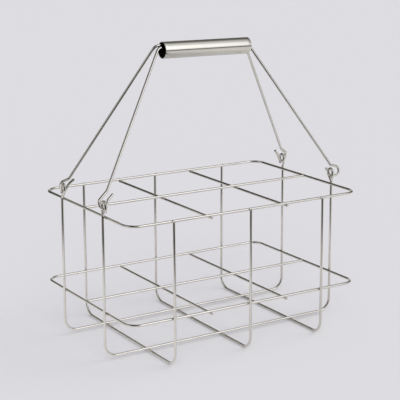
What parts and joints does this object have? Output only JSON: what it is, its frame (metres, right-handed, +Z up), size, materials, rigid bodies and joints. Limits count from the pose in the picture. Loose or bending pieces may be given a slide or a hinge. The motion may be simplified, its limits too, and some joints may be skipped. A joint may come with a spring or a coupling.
{
  "type": "milk bottle carrier",
  "caption": "Welded stainless-wire bottle carrier with divided cells and a tall double-bail handle that hooks into wire eyes and shares one steel grip tube.",
  "frame": {"origin": "on the floor under the middle of the carrier: the flat under the middle cross cradle", "axes": "+X along the carrier, towards its right end; +Y across it, towards its back; +Z up"},
  "size_m": [0.3242, 0.215, 0.3392],
  "materials": {
    "polished_wire": "polished stainless wire, with fine drawing lines along it",
    "brushed_tube": "satin stainless tube with deburred ends"
  },
  "bodies": {
    "crate": {"top_ring": "polished_wire", "lower_ring": "polished_wire", "top_long_divider": "polished_wire", "lower_long_divider": "polished_wire", "top_cross_divider_left": "polished_wire", "top_cross_divider_right": "polished_wire", "lower_cross_divider_left": "polished_wire", "lower_cross_divider_right": "polished_wire", "cross_cradle_left": "polished_wire", "cross_cradle_middle": "polished_wire", "cross_cradle_right": "polished_wire", "long_cradle_front": "polished_wire", "long_cradle_back": "polished_wire"},
    "back_bail": {"back_bail": "polished_wire"},
    "front_bail": {"front_bail": "polished_wire"},
    "grip": {"grip_tube": "brushed_tube"}
  },
  "joints": [
    {"name": "back_bail_rock", "type": "hinge", "parent": "crate", "child": "back_bail", "pos_m": [0, 0.0495, 0.1726], "axis": [-1, 0, 0], "range_deg": [0, 3]},
    {"name": "front_bail_rock", "type": "hinge", "parent": "crate", "child": "front_bail", "pos_m": [0, -0.0495, 0.1726], "axis": [-1, 0, 0], "range_deg": [0, 3]},
    {"name": "grip_spin", "type": "hinge", "parent": "back_bail", "child": "grip", "pos_m": [0.0072, 0, 0.32895], "axis": [0.9999, 0, -0.0157], "continuous": true}
  ],
  "couplings": [
    {"joint": "front_bail_rock", "follows": "back_bail_rock", "ratio": 1}
  ]
}
